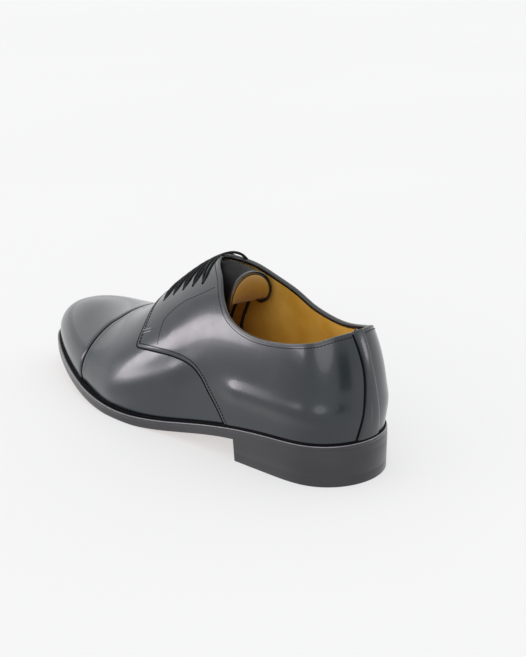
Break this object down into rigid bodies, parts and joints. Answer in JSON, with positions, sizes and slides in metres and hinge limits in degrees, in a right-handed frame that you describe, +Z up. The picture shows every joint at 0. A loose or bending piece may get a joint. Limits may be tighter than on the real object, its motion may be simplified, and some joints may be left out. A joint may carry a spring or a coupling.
{
  "type": "dress shoe",
  "caption": "Left derby dress shoe in smooth black leather with a toe cap, closed straight lacing, a back strip, a tan lining and a low stacked heel.",
  "frame": {"origin": "middle of the heel's flat tread face, on the floor", "axes": "+Y toward the toe, +X toward the wearer's right, which is the inner side of this left shoe, +Z up"},
  "size_m": [0.0981, 0.3051, 0.1137],
  "materials": {
    "black_calf": "smooth polished calf leather",
    "lining_leather": "plain tan lining leather",
    "sole_edge": "dyed and waxed sole leather",
    "heel_rubber": "matt black rubber",
    "lace_cord": "thin round waxed cotton lace"
  },
  "bodies": {
    "root": {"outsole": "sole_edge", "welt": "sole_edge", "heel_block": "sole_edge", "heel_top_piece": "heel_rubber", "insole": "lining_leather", "upper": "black_calf", "tongue": "black_calf", "lace_bar_1": "lace_cord", "lace_bar_2": "lace_cord", "lace_bar_3": "lace_cord", "lace_bar_4": "lace_cord", "lace_bar_5": "lace_cord", "lace_end_rear": "lace_cord", "lace_end_front": "lace_cord"}
  },
  "joints": []
}
